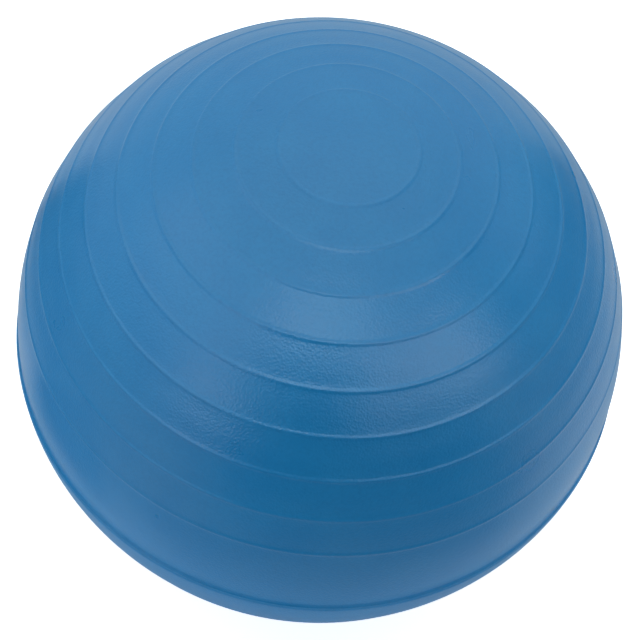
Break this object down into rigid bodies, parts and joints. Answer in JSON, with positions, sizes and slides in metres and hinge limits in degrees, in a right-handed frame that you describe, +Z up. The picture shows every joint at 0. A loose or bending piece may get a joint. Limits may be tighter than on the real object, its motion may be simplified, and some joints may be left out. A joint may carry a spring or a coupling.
{
  "type": "inflatable exercise ball",
  "caption": "Inflatable ball with a soft hollow skin, raised rings round both poles, a plain band at the mould line, and a push-in air plug in a round valve.",
  "frame": {"origin": "middle of the flat patch that the ball rests on", "axes": "+Z up through both ringed poles, +Y towards the valve at the back, +X to the right seen from the front"},
  "size_m": [0.6572, 0.6572, 0.6453],
  "materials": {
    "skin": "satin blue soft PVC with a fine moulded grain",
    "bush": "matt grey soft PVC",
    "plug": "white moulded polyethylene"
  },
  "bodies": {
    "ball": {"ball_skin": "skin", "valve_bush": "bush"},
    "plug": {"air_plug": "plug"}
  },
  "joints": [
    {"name": "plug_pull", "type": "slide", "parent": "ball", "child": "plug", "axis": [0, 0.9848, 0.1736], "range_m": [0, 0.045]}
  ]
}
